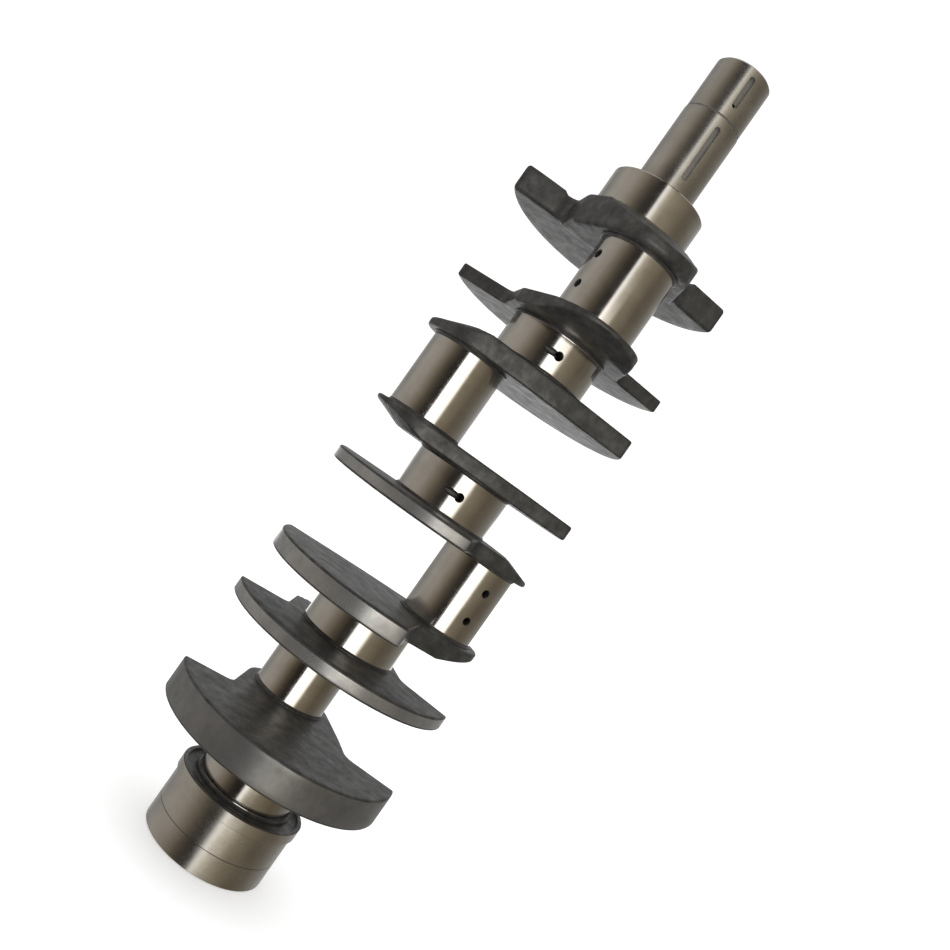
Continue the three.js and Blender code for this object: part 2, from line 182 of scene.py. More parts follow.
# Snout.
KEYWAY_WIDTH = 4.8 * MM
KEYWAY_DEPTH = 2.6 * MM
KEYWAY_OVERSHOOT = 2 * MM
GEAR_KEYWAY = (13.5 * MM, 45.5 * MM)  # start and length
NOSE_KEYWAY = (10 * MM, 26 * MM)
SPOT_RADIUS = 1.6 * MM
SPOT_DEPTH = 6 * MM
SPOT_CHAMFER = 0.2 * MM
SEAT_RELIEF_DEPTH = 0.4 * MM
SEAT_RELIEF_LENGTH = 2 * MM
NOSE_CHAMFER = 1.5 * MM
NECK_WIDTH = 0.8 * MM
NECK_DEPTH = 0.6 * MM
SNOUT_BOLT_RADIUS = 5.2 * MM
SNOUT_BOLT_DEPTH = 36 * MM
COUNTERSINK_RADIUS = 8 * MM
COUNTERSINK_DEPTH = 4 * MM

# View: the camera looks level at the shaft from in front of the first crankpin.
VIEW_AZIMUTH = -15.6
VIEW_DISTANCE = 722.5 * MM
VIEW_HEIGHT = 321.3 * MM
SHAFT_LEAN = 35.116
LENS = 37.33
SENSOR_WIDTH = 36
VIEW_SHIFT = (0.0196, 0.0120)
VIEW_REACH = 100

# The floor reaches far past the view and lies just under the flywheel face.
FLOOR_SIZE = 30.0
FLOOR_GAP = 0.2 * MM
FLOOR_LOOK = {
    "Base Color": (0.95, 0.95, 0.95, 1),
    "Roughness": 0.9,
    "Specular IOR Level": 0.1,
    "Emission Color": (1, 1, 1, 1),
    "Emission Strength": 0.22,
}


# ---- mesh helpers -------------------------------------------------------------------------

def new_piece(name, bm, materials):
    """Turns a bmesh into a smooth-shaded object in the scene."""
    bmesh.ops.recalc_face_normals(bm, faces=bm.faces)
    mesh = bpy.data.meshes.new(name)
    bm.to_mesh(mesh)
    bm.free()
    for material in materials:
        mesh.materials.append(material)
    piece = bpy.data.objects.new(name, mesh)
    bpy.context.scene.collection.objects.link(piece)
    for polygon in mesh.polygons:
        polygon.use_smooth = True
    return piece


def turned(profile, segments=SEGMENTS):
    """A solid turned about Z from (radius, z) points that start and end on the axis or close up."""
    bm = bmesh.new()
    rings = []
    for radius, z in profile:
        if radius == 0:
            rings.append([bm.verts.new((0, 0, z))])
            continue
        ring = []
        for step in range(segments):
            angle = 2 * math.pi * step / segments
            ring.append(bm.verts.new((radius * math.cos(angle), radius * math.sin(angle), z)))
        rings.append(ring)
    for low, high in zip(rings, rings[1:]):
        for step in range(segments):
            following = (step + 1) % segments
            corners = [low[step % len(low)], low[following % len(low)],
                       high[following % len(high)], high[step % len(high)]]
            bm.faces.new(list(dict.fromkeys(corners)))
    return bm


def arc(centre, radius, start, end, steps):
    """Points along an arc between two angles in degrees, as (across, up) pairs."""
    points = []
    for step in range(steps + 1):
        angle = math.radians(start + (end - start) * step / steps)
        points.append((centre[0] + radius * math.cos(angle), centre[1] + radius * math.sin(angle)))
    return points


def cut(piece, cutters):
    """Cuts closed cutters out of a piece and deletes them."""
    for tool in cutters:
        modifier = piece.modifiers.new("cut", "BOOLEAN")
        modifier.operation = "DIFFERENCE"
        modifier.solver = "EXACT"
        modifier.object = tool
    bake_modifiers(piece)
    for tool in cutters:
        bpy.data.objects.remove(tool)


def bake_modifiers(piece):
    """Applies a piece's modifiers to its mesh."""
    graph = bpy.context.evaluated_depsgraph_get()
    baked = bpy.data.meshes.new_from_object(piece.evaluated_get(graph))
    piece.modifiers.clear()
    old = piece.data
    piece.data = baked
    bpy.data.meshes.remove(old)


def on_radius(arms, radii):
    """Whether all the arms of a face reach one and the same of the given radii."""
    return any(all(abs(arm.length - radius) < RADIUS_TOLERANCE for arm in arms) for radius in radii)


def set_normals(piece, centre, radii):
    """Sharp edges by angle, and exact radial normals on the turned surfaces of given radii."""
    mesh = piece.data
    mesh.set_sharp_from_angle(angle=math.radians(TURNED_SHARP_ANGLE))
    normals = [Vector(corner.vector) for corner in mesh.corner_normals]
    for polygon in mesh.polygons:
        if abs(polygon.normal.z) > UPRIGHT_TOLERANCE:
            continue
        arms = [mesh.vertices[corner].co.xy - centre for corner in polygon.vertices]
        if not on_radius(arms, radii):
            continue
        for loop, arm in zip(polygon.loop_indices, arms):
            if polygon.normal.xy.dot(arm) > 0:
                normals[loop] = Vector((arm.x, arm.y, 0)).normalized()
    mesh.normals_split_custom_set(normals)


def move(bm, offset):
    """Moves a whole bmesh and hands it back."""
    bmesh.ops.translate(bm, vec=offset, verts=bm.verts)
    return bm


def drill(name, mouth, inward, radius, depth, chamfer):
    """A cutter for a hole with a chamfered mouth. It starts just outside the mouth."""
    clear = DRILL_CLEARANCE
    flare = radius + chamfer
    profile = [(0, -clear), (flare + clear, -clear), (flare, 0), (radius, chamfer),
               (radius, depth - radius / 2), (0, depth)]
    bm = turned(profile, HOLE_SEGMENTS)
    turn = Vector((0, 0, 1)).rotation_difference(inward).to_matrix().to_4x4()
    bm.transform(Matrix.Translation(mouth) @ turn)
    return cutter(name, bm)


def cutter(name, bm):
    """A closed cutter. What it cuts gets the piece's second material: in the journals and the flange
    that is the dark forged skin, as painted shade in holes, grooves and bores.
    """
    piece = new_piece(name, bm, [JOURNAL_STEEL, FORGED_SKIN_AND_SHADE])
    darken(piece, lambda centre, normal: True)
    return piece


def keyway_cutter(surface, low, high):
    """A cutter for a keyway on the -Y side, with rounded ends."""
    half = KEYWAY_WIDTH / 2
    outline = arc((0, high - half), half, 0, 180, CORNER_STEPS)
    outline += arc((0, low + half), half, 180, 360, CORNER_STEPS)
    bm = bmesh.new()
    floor_ring = [bm.verts.new((x, KEYWAY_DEPTH - surface, z)) for x, z in outline]
    top_ring = [bm.verts.new((x, -surface - KEYWAY_OVERSHOOT, z)) for x, z in outline]
    bm.faces.new(floor_ring)
    bm.faces.new(top_ring)
    count = len(outline)
    for i in range(count):
        j = (i + 1) % count
        bm.faces.new([floor_ring[i], floor_ring[j], top_ring[j], top_ring[i]])
    return cutter("keyway", bm)


def finish_piece(piece, slot, *nodes):
    """Hangs a piece on the frame in place of its CAD nodes."""
    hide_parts(*nodes)
    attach(piece, "root")


# ---- materials ----------------------------------------------------------------------------

# Noise patterns: cells to a metre along x, y and z, the steps of finer noise and their weight.
GRINDING_MARKS = dict(cells=(60, 60, 9000), detail=4, roughness=0.6)
GRINDING_BANDS = dict(cells=(25, 25, 700), detail=3, roughness=0.5)
SMUDGES = dict(cells=(45, 45, 45), detail=4, roughness=0.55)
MOTTLE = dict(cells=(90, 90, 90), detail=5, roughness=0.6)
STREAKS = dict(cells=(190, 190, 150), detail=4, roughness=0.6)
GRAIN = dict(cells=(600, 600, 600), detail=2, roughness=0.6)
TOOL_LINES = dict(cells=(20, 20, 1300), detail=2, roughness=0.5)
PATCHES = dict(cells=(70, 70, 70), detail=4, roughness=0.6)
PORES = dict(cells=(1500, 1500, 1500), detail=3, roughness=0.6)

# Ground steel: how the smudges and marks darken, dull and lift it.
SMUDGE_TONE = 0.86
SMUDGE_ROUGHNESS = 0.06
MARK_ROUGHNESS = 0.07
MARK_SHARE = 0.35
MARK_DEPTH = 0.04 * MM

# Forged skin: colours by tone, and the roughness from its darkest to its lightest tone.
FORGED_TONES = [(0.32, (0.055, 0.054, 0.052)), (0.5, (0.095, 0.094, 0.091)),
                (0.68, (0.15, 0.148, 0.143))]
FORGED_METALLIC = 0.75
FORGED_ROUGHNESS = (0.5, 0.34)
MOTTLE_SHARE = 0.65
MOTTLE_BUMP = 0.35
MOTTLE_DEPTH = 0.6 * MM
GRAIN_BUMP = 0.25
GRAIN_DEPTH = 0.2 * MM

# Machined steel: the tints of its darker and lighter patches.
MACHINED_DARK_TINT = (1, 0.985, 0.96)
MACHINED_TINT = (1, 0.985, 0.955)
MACHINED_METALLIC = 0.8
PATCH_TONE = 0.72
PATCH_ROUGHNESS = 0.09
TOOL_LINE_BUMP = 0.12
TOOL_LINE_DEPTH = 0.08 * MM

# Bronze: colours by tone, and the roughness from its darkest to its lightest tone.
BRONZE_TONES = [(0.35, (0.22, 0.12, 0.05)), (0.6, (0.5, 0.32, 0.14))]
BRONZE_ROUGHNESS = (0.5, 0.35)
PORE_BUMP = 0.3
PORE_DEPTH = 0.1 * MM


class Nodes:
    """A small helper that adds and links shader nodes."""

    def __init__(self, tree):
        self.tree = tree

    def add(self, kind, settings=(), **inputs):
        """A new node with its settings and inputs. An underscore stands for a space."""
        node = self.tree.nodes.new(kind)
        for key, value in dict(settings).items():
            setattr(node, key, value)
        for key, value in inputs.items():
            self.put(node, key.replace("_", " "), value)
        return node

    def put(self, node, name, value):
        """Links or sets an input, found by its name or by "#" and its number."""
        socket = node.inputs[int(name[1:])] if name[0] == "#" else node.inputs[name]
        if isinstance(value, bpy.types.NodeSocket):
            self.tree.links.new(value, socket)
        else:
            socket.default_value = value

    def math(self, operation, first, second=0.0):
        """A sum, product or angle of two values."""
        node = self.tree.nodes.new("ShaderNodeMath")
        node.operation = operation
        self.put(node, "#0", first)
        self.put(node, "#1", second)
        return node.outputs[0]

    def noise(self, cells, detail, roughness):
        """Noise fixed to the piece, with so many cells to a metre along each axis."""
        place = self.add("ShaderNodeTexCoord").outputs["Object"]
        vector = self.add("ShaderNodeMapping", Vector=place, Scale=cells).outputs["Vector"]
        node = self.add("ShaderNodeTexNoise", Vector=vector, Scale=1.0, Detail=detail,
                        Roughness=roughness)
        return node.outputs["Fac"]

    def spread(self, fac, low, high, start=0.3, end=0.7):
        """Maps start..end to low..high."""
        node = self.add("ShaderNodeMapRange", Value=fac)
        limits = {"From Min": start, "From Max": end, "To Min": low, "To Max": high}
        for name, value in limits.items():
            node.inputs[name].default_value = value
        return node.outputs["Result"]

    def ramp(self, fac, stops):
        """A colour that runs straight from each (place, colour) stop to the next."""
        node = self.add("ShaderNodeValToRGB", Fac=fac)
        node.color_ramp.interpolation = "LINEAR"
        elements = node.color_ramp.elements
        while len(elements) < len(stops):
            elements.new(0.5)
        for element, (place, colour) in zip(elements, stops):
            element.position = place
            element.color = (*colour, 1)
        return node.outputs["Color"]

    def bump(self, height, strength, distance, normal=None):
        """A normal made uneven by a height, on top of another such normal if there is one."""
        node = self.add("ShaderNodeBump", Height=height, Strength=strength, Distance=distance)
        if normal is not None:
            self.put(node, "Normal", normal)
        return node.outputs["Normal"]


def new_material(name):
    material = bpy.data.materials.new(name)
    material.use_nodes = True
    nodes = Nodes(material.node_tree)
    return material, nodes, material.node_tree.nodes["Principled BSDF"]


def scaled(tint, factor):
    """A colour made darker or lighter."""
    return tuple(factor * part for part in tint)


def ground_steel(name, tint, rough, marks):
    """Ground steel: mirror bright, with fine marks that run round the shaft."""
    material, nodes, shader = new_material(name)
    fine = nodes.noise(**GRINDING_MARKS)
    broad = nodes.noise(**GRINDING_BANDS)
    smudge = nodes.noise(**SMUDGES)
    tones = [(0.3, scaled(tint, SMUDGE_TONE)), (0.62, tint)]
    nodes.put(shader, "Base Color", nodes.ramp(smudge, tones))
    shader.inputs["Metallic"].default_value = 1.0
    base = nodes.spread(fine, rough, rough + MARK_ROUGHNESS)
    dulled = nodes.math("ADD", nodes.spread(smudge, 0.0, SMUDGE_ROUGHNESS), base)
    nodes.put(shader, "Roughness", dulled)
    mixed = nodes.math("ADD", nodes.math("MULTIPLY", fine, MARK_SHARE), broad)
    nodes.put(shader, "Normal", nodes.bump(mixed, marks, MARK_DEPTH))
    return material


def forged_skin(name):
    """Dark forged skin: satin, mottled and slightly uneven."""
    material, nodes, shader = new_material(name)
    mottle = nodes.noise(**MOTTLE)
    streak = nodes.noise(**STREAKS)
    grain = nodes.noise(**GRAIN)
    broad = nodes.math("MULTIPLY", mottle, MOTTLE_SHARE)
    tone = nodes.math("ADD", broad, nodes.math("MULTIPLY", streak, 1 - MOTTLE_SHARE))
    nodes.put(shader, "Base Color", nodes.ramp(tone, FORGED_TONES))
    shader.inputs["Metallic"].default_value = FORGED_METALLIC
    nodes.put(shader, "Roughness", nodes.spread(tone, *FORGED_ROUGHNESS))
    first = nodes.bump(grain, GRAIN_BUMP, GRAIN_DEPTH)
    nodes.put(shader, "Normal", nodes.bump(mottle, MOTTLE_BUMP, MOTTLE_DEPTH, first))
    return material


def machined(name, tone, rough):
    """Machined grey steel with fine tool lines, for counterweight rims and keyways."""
    material, nodes, shader = new_material(name)
    lines = nodes.noise(**TOOL_LINES)
    patch = nodes.noise(**PATCHES)
    tones = [(0.3, scaled(MACHINED_DARK_TINT, PATCH_TONE * tone)), (0.7, scaled(MACHINED_TINT, tone))]
    nodes.put(shader, "Base Color", nodes.ramp(patch, tones))
    shader.inputs["Metallic"].default_value = MACHINED_METALLIC
    nodes.put(shader, "Roughness", nodes.spread(patch, rough + PATCH_ROUGHNESS, rough))
    nodes.put(shader, "Normal", nodes.bump(lines, TOOL_LINE_BUMP, TOOL_LINE_DEPTH))
    return material


def bronze(name):
    """Sintered bronze: fine pores and a dull sheen."""
    material, nodes, shader = new_material(name)
    pores = nodes.noise(**PORES)
    nodes.put(shader, "Base Color", nodes.ramp(pores, BRONZE_TONES))
    shader.inputs["Metallic"].default_value = 1.0
    nodes.put(shader, "Roughness", nodes.spread(pores, *BRONZE_ROUGHNESS))
    nodes.put(shader, "Normal", nodes.bump(pores, PORE_BUMP, PORE_DEPTH))
    return material


JOURNAL_STEEL = ground_steel("ground_journal", tint=(0.8, 0.775, 0.735), rough=0.07, marks=0.12)
FLANGE_STEEL = ground_steel("ground_flange", tint=(0.76, 0.735, 0.69), rough=0.17, marks=0.12)
SNOUT_STEEL = ground_steel("ground_snout", tint=(0.7, 0.68, 0.64), rough=0.19, marks=0.08)
# The dark forged skin of the webs; it also stands in holes, grooves and journal fillets as painted
# shade.
FORGED_SKIN_AND_SHADE = forged_skin("forged_web")
RIM = machined("turned_rim", tone=0.4, rough=0.25)
# The rim steel again, darker, for the rear counterweight: painted shade on its rim.
SHADED_REAR_RIM = machined("shaded_rear_rim", tone=0.25, rough=0.31)
# Milled steel for keyways and holes, also used as painted shade in the nose's neck groove.
MILLED_AND_SHADE = machined("milled_keyway_and_shade", tone=0.36, rough=0.31)
BRONZE = bronze("bush_bronze")


# ---- journals and crankpins ---------------------------------------------------------------

def darken(piece, is_dark):
    """Gives the second material to each face whose centre and normal pass a test."""
    for polygon in piece.data.polygons:
        if is_dark(polygon.center, polygon.normal):
            polygon.material_index = 1


def journal_profile(collar_radius, radius, low, high, front_is_free):
    """From one web to the next: thrust collar, fillet, ground surface, fillet, collar."""
    rise = collar_radius - radius
    sweep = math.degrees(math.acos(1 - min(rise, JOURNAL_FILLET) / JOURNAL_FILLET))
    start = low + COLLAR_LAND
    reach = JOURNAL_FILLET * math.sin(math.radians(sweep))
    rear = arc((radius + JOURNAL_FILLET, start + reach), JOURNAL_FILLET, 180 + sweep, 180,
               FILLET_STEPS)
    points = [(0, low), (collar_radius, low), *rear]
    if front_is_free:
        return points + [(radius, high - JOURNAL_CHAMFER), (radius - JOURNAL_CHAMFER, high), (0, high)]
    end = high - COLLAR_LAND
    front = arc((radius + JOURNAL_FILLET, end - reach), JOURNAL_FILLET, 180, 180 - sweep,
                FILLET_STEPS)
    return points + [*front, (collar_radius, high), (0, high)]


def radial(angle):
    """The level direction at an angle in degrees."""
    return Vector((math.cos(math.radians(angle)), math.sin(math.radians(angle)), 0))


def groove_cutter(name, radius, angle, z):
    """A shallow scoop that leads round the journal into the oil hole."""
    bm = bmesh.new()
    across, upward = SCOOP_SEGMENTS
    bmesh.ops.create_uvsphere(bm, u_segments=across, v_segments=upward, radius=1)
    axial, around, deep = GROOVE_REACH
    bm.transform(Matrix.Diagonal((deep, around, axial, 1)))
    bm.transform(Matrix.Rotation(math.radians(angle + GROOVE_TURN), 4, "Z"))
    return cutter(name, move(bm, radial(angle + GROOVE_TURN) * radius + Vector((0, 0, z))))


def main_journal(index):
    """One main journal between its thrust collars, with its oil hole."""
    node = f"main_journal_{index}"
    lowest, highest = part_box(node)
    collar_radius = (highest.x - lowest.x) / 2
    radius = collar_radius - MAIN_COLLAR
    profile = journal_profile(collar_radius, radius, lowest.z, highest.z, index == 1)
    piece = new_piece(node + "_ground", turned(profile), [JOURNAL_STEEL, FORGED_SKIN_AND_SHADE])
    # The collars and their fillets take the dark forged skin: the collars as the web's own skin, the
    # fillets as painted shade where the journal meets the web.
    darken(piece, lambda centre, normal: centre.xy.length > radius + COLLAR_SHINE)
    angle = MAIN_HOLE_ANGLES[index]
    middle = (lowest.z + highest.z) / 2
    mouth = radial(angle) * radius + Vector((0, 0, middle))
    hole = drill("hole", mouth, -radial(angle), MAIN_HOLE_RADIUS, HOLE_DEPTH, HOLE_CHAMFER)
    # The oil hole and its groove take the dark forged skin from the cutters, as painted shade inside
    # them.
    cut(piece, [groove_cutter("groove", radius, angle, middle), hole])
    set_normals(piece, AXIS, [radius])
    finish_piece(piece, "ground_journal", node)


def crankpin(index):
    """One crankpin between its collars, with two oil holes."""
    node = f"crankpin_{index}"
    lowest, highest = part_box(node)
    collar_radius = (highest.x - lowest.x) / 2
    radius = collar_radius - PIN_COLLAR
    centre = (lowest + highest) / 2
    profile = journal_profile(collar_radius, radius, lowest.z, highest.z, False)
    bm = move(turned(profile), (centre.x, centre.y, 0))
    piece = new_piece(node + "_ground", bm, [JOURNAL_STEEL, FORGED_SKIN_AND_SHADE])
    # The collars and their fillets take the dark forged skin: the collars as the web's own skin, the
    # fillets as painted shade where the journal meets the web.
    darken(piece, lambda place, normal: (place.xy - centre.xy).length > radius + COLLAR_SHINE)
    out = radial(PIN_DIRECTIONS[index] + PIN_HOLE_ANGLE)
    cutters = []
    for side in (-1, 1):
        mouth = centre + out * radius + Vector((0, 0, side * PIN_HOLE_OFFSET))
        cutters.append(drill("hole", mouth, -out, PIN_HOLE_RADIUS, HOLE_DEPTH, HOLE_CHAMFER))
    # Both oil holes take the dark forged skin from the cutters, as painted shade inside them.
    cut(piece, cutters)
    set_normals(piece, centre.xy, [radius])
    finish_piece(piece, "ground_journal", node)


# ---- webs and counterweights --------------------------------------------------------------

def tangent_angle(point, hub, side):
    """The direction from the hub's centre where a line from a point touches the hub."""
    offset = point - Vector((THROW, 0))
    swing = math.acos(hub / offset.length)
    return math.degrees(math.atan2(offset.y, offset.x) - side * swing)


def filleted(before, corner, after, radius):
    """The corner between two straight runs, rounded."""
    back = (before - corner).normalized()
    on = (after - corner).normalized()
    half = back.angle(on) / 2
    reach = radius / math.tan(half)
    centre = corner + (back + on).normalized() * (radius / math.sin(half))
    start = math.degrees(math.atan2(*(corner + back * reach - centre).yx))
    end = math.degrees(math.atan2(*(corner + on * reach - centre).yx))
    sweep = (end - start + 180) % 360 - 180
    return [Vector(p) for p in arc(centre, radius, start, start + sweep, CORNER_STEPS)]


def resampled(points, step):
    """The closed outline again, with points a nearly even step apart."""
    count = len(points)
    lengths = [(points[(i + 1) % count] - points[i]).length for i in range(count)]
    total = sum(lengths)
    samples = round(total / step)
    result = []
    side = 0
    walked = 0.0
    for sample in range(samples):
        target = total * sample / samples
        while walked + lengths[side] < target:
            walked += lengths[side]
            side += 1
        share = (target - walked) / lengths[side]
        result.append(points[side].lerp(points[(side + 1) % count], share))
    return result


def softened(points, passes):
    """Rounds the corners of an evenly stepped outline."""
    for _ in range(passes):
        following = points[1:] + points[:1]
        points = [(points[i - 1] + points[i] * 2 + following[i]) / 4 for i in range(len(points))]
    return points


def web_outline(shape, radius, softening):
    """The closed outline of a web with its counterweight, anticlockwise."""
    handed = 1 if shape["wide_tip"] > 0 else -1
    wide, narrow, shoulder = (Vector((u * MM, w * MM * handed)) for u, w in
                              (shape["wide_root"], shape["narrow_root"], shape["shoulder"]))
    rim = [Vector(p) for p in arc((0, 0), radius, shape["wide_tip"] * handed,
                                  360 + shape["narrow_tip"] * handed, RIM_STEPS)]
    hub_start = tangent_angle(shoulder, shape["hub"], -1)
    hub_end = tangent_angle(wide, shape["hub"], 1)
    hub = [Vector(p) for p in arc((THROW, 0), shape["hub"], hub_start, hub_end, HUB_STEPS)]
    narrow_run = filleted(rim[-1], narrow, shoulder, ROOT_FILLET)
    wide_run = filleted(hub[-1], wide, rim[0], ROOT_FILLET)
    run = [*rim, *narrow_run, shoulder, *hub, *wide_run]
    points = softened(resampled(run, OUTLINE_STEP), softening)
    if handed > 0:
        return points
    return [Vector((p.x, -p.y)) for p in reversed(points)]


def smoothstep(low, high, value):
    """Goes smoothly from 0 to 1 as the value goes from low to high."""
    share = min(1.0, max(0.0, (value - low) / (high - low)))
    return share * share * (3 - 2 * share)


class WebFaces:
    """The heights of a web's two faces at any point of its outline's plane."""

    def __init__(self, index, low, high):
        facts = WEBS[index]
        shape = facts["shape"]
        self.front = index == 1
        self.edge = FRONT_WEB_EDGE if self.front else WEB_EDGE
        self.main_above = facts["main_above"]
        self.low, self.high = low, high
        self.radius = facts["radius"]
        self.draft = DRAFTS.get(index, PLAIN_DRAFT)
        self.cone_outer = THROW + shape["hub"] - CONE_TRIM
        self.cone_inner = self.cone_outer - facts["cone"][1]
        self.cone_fall = min(facts["cone"][0], high - low - CONE_RIM)
        self.wide = Vector(shape["wide_root"]) * MM
        along = Vector(shape["narrow_root"]) * MM - self.wide
        self.ahead = Vector((along.y, -along.x)).normalized()
        if self.ahead.x < 0:
            self.ahead = -self.ahead

    def beyond_chord(self, point):
        """How far a point lies on the crankpin's side of the line between the two roots."""
        return (point - self.wide).dot(self.ahead)

    def pin_fall(self, point):
        """How far the crankpin side lies inside the web's full thickness."""
        ahead = self.beyond_chord(point)
        if ahead > 0 and not self.front:
            return 0.0
        share = (point.length - DRAFT_START) / (self.radius - DRAFT_START)
        fall = self.draft * max(0.0, share) if ahead < 0 else 0.0
        if self.front:
            fall += WING_SETBACK * smoothstep(STEP_RAMP, -STEP_RAMP, ahead)
        return fall

    def main_fall(self, point):
        """How far the main journal's side lies inside the web's full thickness."""
        ahead = self.beyond_chord(point)
        reach = point.length
        if ahead > 0:
            share = (reach - self.cone_inner) / (self.cone_outer - self.cone_inner)
            return self.cone_fall * min(1.0, max(0.0, share))
        share = max(0.0, (reach - DRAFT_START) / (self.radius - DRAFT_START))
        if not self.front:
            return PLAIN_DRAFT * share
        rise = smoothstep(RECESS_RADIUS, RECESS_RADIUS + RECESS_RAMP, reach)
        return -WING_OVERHANG * rise * smoothstep(0, -STEP_RAMP, ahead)

    def heights(self, point):
        """The heights of the low and the high face."""
        if self.main_above:
            return self.low + self.pin_fall(point), self.high - self.main_fall(point)
        return self.low + self.main_fall(point), self.high - self.pin_fall(point)


def outward_normals(points):
    """The outward directions at the points of an anticlockwise outline."""
    count = len(points)
    normals = []
    for i in range(count):
        along = (points[(i + 1) % count] - points[i - 1]).normalized()
        normals.append(Vector((along.y, -along.x)))
    return normals


def web_rings(outline, faces):
    """Rings of points from the middle of the low face, up the wall, to the middle of the high one."""
    normals = outward_normals(outline)
    edge = faces.edge
    quarter = [math.pi / 2 * step / EDGE_STEPS for step in range(EDGE_STEPS + 1)]

    def face_ring(share, upper):
        ring = []
        for point, normal in zip(outline, normals):
            p = FACE_CENTRE + (point - normal * edge - FACE_CENTRE) * share
            ring.append((p.x, p.y, faces.heights(p)[upper]))
        return ring

    def edge_ring(angle, upper):
        inset = edge * (1 - math.cos(angle))
        drop = edge * (1 - math.sin(angle)) * (-1 if upper else 1)
        ring = []
        for point, normal in zip(outline, normals):
            p = point - normal * inset
            ring.append((p.x, p.y, faces.heights(point - normal * edge)[upper] + drop))
        return ring

    shares = [(step / FACE_STEPS) ** FACE_SPACING for step in range(1, FACE_STEPS)]
    rings = [face_ring(share, 0) for share in shares]
    rings += [edge_ring(angle, 0) for angle in reversed(quarter)]
    top = [edge_ring(angle, 1) for angle in quarter]
    rings += wall_rings(rings[-1], top[0])
    rings += top
    rings += [face_ring(share, 1) for share in reversed(shares)]
    return rings


def wall_rings(foot, head):
    """The rings between the two rounded edges of a web's wall."""
    rings = []
    for step in range(1, WALL_STEPS):
        share = step / WALL_STEPS
        rings.append([(low[0], low[1], low[2] + (high[2] - low[2]) * share)
                      for low, high in zip(foot, head)])
    return rings


def web_solid(outline, faces):
    """The closed mesh of a web. Its wall gets the rim's material where it follows the rim."""
    bm = bmesh.new()
    rings = [[bm.verts.new(p) for p in ring] for ring in web_rings(outline, faces)]
    count = len(outline)
    foot = FACE_STEPS - 1 + EDGE_STEPS
    wall = range(foot, foot + WALL_STEPS)
    for index, (lower, upper) in enumerate(zip(rings, rings[1:])):
        for i in range(count):
            j = (i + 1) % count
            face = bm.faces.new([lower[i], lower[j], upper[j], upper[i]])
            on_rim = min(outline[i].length, outline[j].length) > faces.radius - RIM_BAND
            face.material_index = 1 if index in wall and on_rim else 0
    for ring, upper in ((rings[0], 0), (rings[-1], 1)):
        hub = bm.verts.new((*FACE_CENTRE, faces.heights(FACE_CENTRE)[upper]))
        for i in range(count):
            bm.faces.new([hub, ring[(i + 1) % count], ring[i]])
    return bm


def web(index):
    """One web with its counterweight, in place of both CAD nodes."""
    facts = WEBS[index]
    lowest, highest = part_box(f"web_{index}")
    faces = WebFaces(index, lowest.z, highest.z)
    softening = FRONT_TIP_SOFTENING if index == 1 else TIP_SOFTENING
    bm = web_solid(web_outline(facts["shape"], facts["radius"], softening), faces)
    bm.transform(Matrix.Rotation(math.radians(PIN_DIRECTIONS[facts["pin"]]), 4, "Z"))
    # Web 8's rim takes the darker copy of the rim steel, as painted shade.
    piece = new_piece(f"web_{index}_forged", bm, [FORGED_SKIN_AND_SHADE, SHADED_REAR_RIM if index == 8 else RIM])
    piece.data.set_sharp_from_angle(angle=math.radians(WEB_SHARP_ANGLE))
    piece.visible_glossy = index not in UNREFLECTED_WEBS
    finish_piece(piece, "forged_web", f"web_{index}", f"counterweight_{index}")


# ---- rear flange and pilot bush -----------------------------------------------------------

def flange_profile(low, high, lip, neck, worn):
    """From the flywheel face over the seal land, wear line, lip and undercut to the neck."""
    land = lip - LIP_STEP
    wall = lip - UNDERCUT_WALL
    floor_height = high - UNDERCUT_DEPTH
    cove = UNDERCUT_COVE
    points = [(0, low), (land - EDGE_BREAK, low), (land, low + EDGE_BREAK)]
    points += [(land, worn - WEAR_WIDTH / 2), (land - WEAR_DEPTH, worn), (land, worn + WEAR_WIDTH / 2)]
    points += [(land, high - LIP_LENGTH - LIP_RAMP), (lip, high - LIP_LENGTH)]
    points += [(lip, high - EDGE_BREAK), (lip - EDGE_BREAK, high)]
    points += [(wall + EDGE_BREAK, high), (wall, high - EDGE_BREAK)]
    points += arc((wall - cove, floor_height + cove), cove, 0, -90, COVE_STEPS)
    points += arc((neck + cove, floor_height + cove), cove, -90, -180, COVE_STEPS)
    return points + [(neck, high), (0, high)]


def pilot_cutter(low):
    """The stepped bore for the pilot bush, with a chamfered mouth and a drilled point."""
    mouth = PILOT_RADIUS + PILOT_CHAMFER
    step = low + PILOT_DEPTH
    profile = [(0, low - CLEARANCE), (mouth, low - CLEARANCE), (mouth, low)]
    profile += [(PILOT_RADIUS, low + PILOT_CHAMFER), (PILOT_RADIUS, step), (RELIEF_RADIUS, step)]
    profile += [(RELIEF_RADIUS, low + RELIEF_DEPTH), (0, low + RELIEF_DEPTH + RELIEF_POINT)]
    return cutter("pilot", turned(profile, BORE_SEGMENTS))


